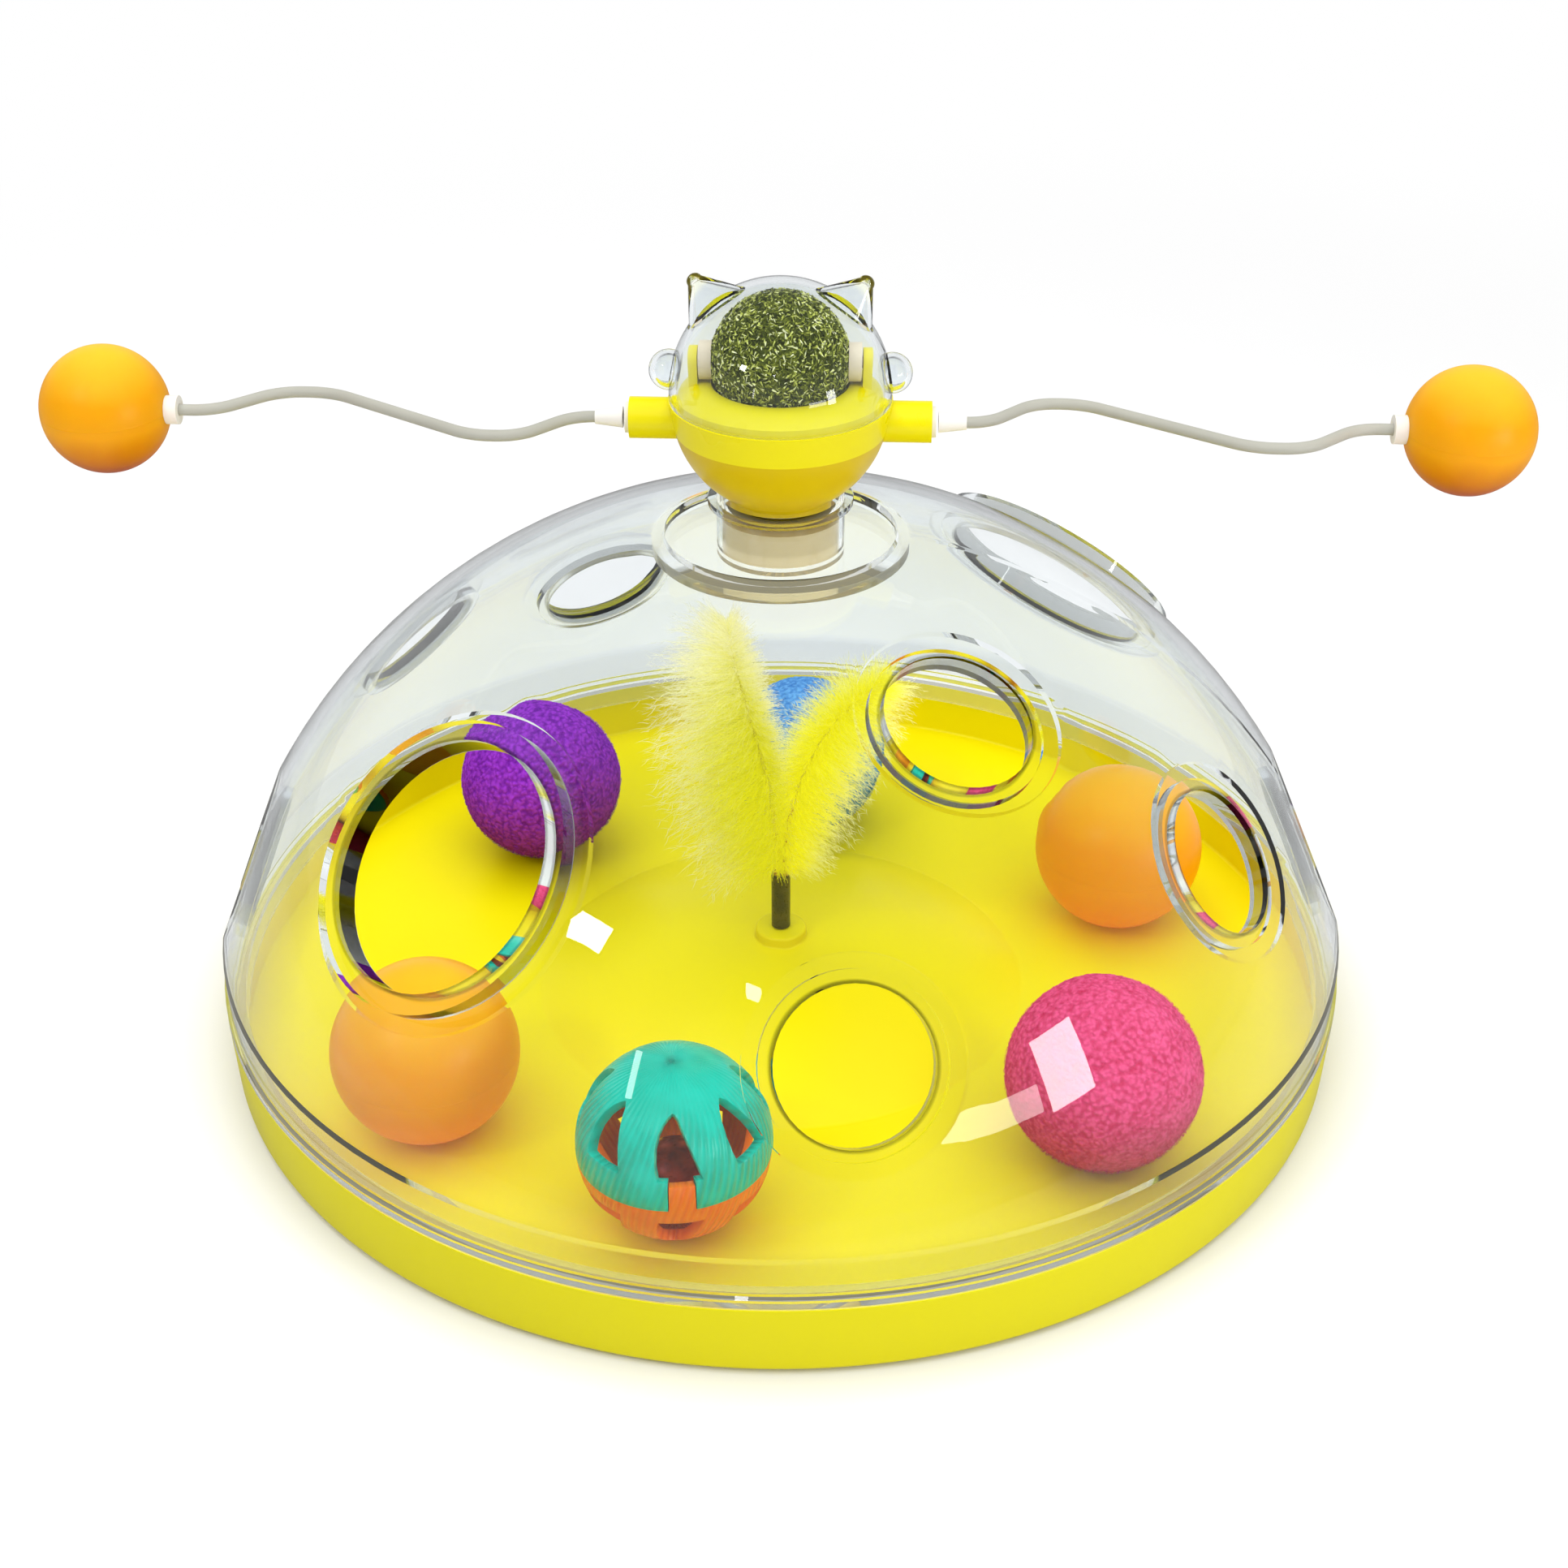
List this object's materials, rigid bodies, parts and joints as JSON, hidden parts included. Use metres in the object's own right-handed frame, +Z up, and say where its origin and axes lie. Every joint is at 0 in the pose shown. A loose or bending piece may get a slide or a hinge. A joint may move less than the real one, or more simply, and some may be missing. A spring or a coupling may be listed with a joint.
{
  "type": "cat track ball toy",
  "caption": "Round tray with loose balls and a feather wand under a clear dome with paw holes, topped by a spinning head with a catnip ball and wire-borne balls.",
  "frame": {"origin": "on the floor under the middle of the tray", "axes": "+Z up along the dome's and the windmill's axis, +X along the right spring wire, -Y towards the viewer"},
  "size_m": [0.3098, 0.256, 0.1755],
  "materials": {
    "tray_yellow": "satin",
    "hub_yellow": "satin",
    "foot_rubber": "matte",
    "sleeve_rubber": "satin",
    "feather_yellow": "matte",
    "ball_translucent": "satin",
    "felt_pink": "matte",
    "felt_purple": "matte",
    "felt_blue": "matte",
    "cage_teal": "gloss",
    "cage_orange": "gloss",
    "bell_metal": "satin",
    "steel": "satin",
    "screw_brass": "polished",
    "clear_plastic": "gloss",
    "bush_beige": "satin",
    "white_plastic": "satin",
    "wire_white": "satin",
    "ball_orange": "satin",
    "catnip": "matte"
  },
  "bodies": {
    "tray": {"base_tray": "tray_yellow", "rubber_feet": "foot_rubber"},
    "wand": {"wand_sleeve": "sleeve_rubber", "feather_left": "feather_yellow", "feather_right": "feather_yellow"},
    "orange_front": {"plastic_ball_front": "ball_translucent"},
    "orange_side": {"plastic_ball_side": "ball_translucent"},
    "felt_pink": {"felt_ball_pink": "felt_pink"},
    "felt_purple": {"felt_ball_purple": "felt_purple"},
    "felt_blue": {"felt_ball_blue": "felt_blue"},
    "bell_ball": {"cage_upper": "cage_teal", "cage_lower": "cage_orange"},
    "bell": {"jingle_bell": "bell_metal", "bell_pellet": "steel"},
    "dome": {"dome_shell": "clear_plastic", "pivot_bush": "bush_beige"},
    "windmill": {"hub_bowl": "hub_yellow", "hub_deck": "hub_yellow", "pivot_washer": "steel", "pivot_screw": "screw_brass", "wire_plug_right": "white_plastic", "wire_plug_left": "white_plastic"},
    "arm_right": {"wire_boot_right": "white_plastic", "arm_wire_right": "wire_white", "wire_cap_right": "white_plastic", "wire_ball_right": "ball_orange"},
    "arm_left": {"wire_boot_left": "white_plastic", "arm_wire_left": "wire_white", "wire_cap_left": "white_plastic", "wire_ball_left": "ball_orange"},
    "catnip": {"catnip_ball": "catnip", "axle_cap_right": "bush_beige", "axle_cap_left": "bush_beige"},
    "cover": {"cat_cover": "clear_plastic"}
  },
  "joints": [
    {"name": "wand_sway", "type": "hinge", "parent": "tray", "child": "wand", "pos_m": [0, 0, 0.0174], "axis": [0, 1, 0], "range_deg": [-8, 8], "stiffness_Nm_per_rad": 0.06},
    {"name": "orange_front_roll", "type": "hinge", "parent": "tray", "child": "orange_front", "pos_m": [0, 0, 0.023], "axis": [0, 0, 1], "range_deg": [-25, 6]},
    {"name": "bell_ball_roll", "type": "hinge", "parent": "tray", "child": "bell_ball", "pos_m": [0, 0, 0.023], "axis": [0, 0, 1], "range_deg": [-6, 16]},
    {"name": "felt_pink_roll", "type": "hinge", "parent": "tray", "child": "felt_pink", "pos_m": [0, 0, 0.024], "axis": [0, 0, 1], "range_deg": [-16, 16]},
    {"name": "orange_side_roll", "type": "hinge", "parent": "tray", "child": "orange_side", "pos_m": [0, 0, 0.023], "axis": [0, 0, 1], "range_deg": [-16, 19]},
    {"name": "felt_blue_roll", "type": "hinge", "parent": "tray", "child": "felt_blue", "pos_m": [0, 0, 0.0235], "axis": [0, 0, 1], "range_deg": [-19, 10]},
    {"name": "felt_purple_roll", "type": "hinge", "parent": "tray", "child": "felt_purple", "pos_m": [0, 0, 0.0235], "axis": [0, 0, 1], "range_deg": [-10, 25]},
    {"name": "bell_rattle", "type": "slide", "parent": "bell_ball", "child": "bell", "axis": [0, 0, 1], "range_m": [0, 0.018]},
    {"name": "dome_lift", "type": "slide", "parent": "tray", "child": "dome", "axis": [0, 0, 1], "range_m": [0, 0.12]},
    {"name": "windmill_spin", "type": "hinge", "parent": "dome", "child": "windmill", "pos_m": [0, 0, 0.13], "axis": [0, 0, 1], "continuous": true},
    {"name": "arm_right_flex", "type": "hinge", "parent": "windmill", "child": "arm_right", "pos_m": [0.03245, 0, 0.1444], "axis": [0, 1, 0], "range_deg": [-10, 10], "stiffness_Nm_per_rad": 0.07, "springref_deg": -5.73},
    {"name": "arm_left_flex", "type": "hinge", "parent": "windmill", "child": "arm_left", "pos_m": [-0.03245, 0, 0.1444], "axis": [0, -1, 0], "range_deg": [-10, 10], "stiffness_Nm_per_rad": 0.07, "springref_deg": -5.73},
    {"name": "catnip_spin", "type": "hinge", "parent": "windmill", "child": "catnip", "pos_m": [0, 0, 0.1572], "axis": [1, 0, 0], "continuous": true},
    {"name": "cover_lift", "type": "slide", "parent": "windmill", "child": "cover", "axis": [0, 0, 1], "range_m": [0, 0.04]}
  ]
}
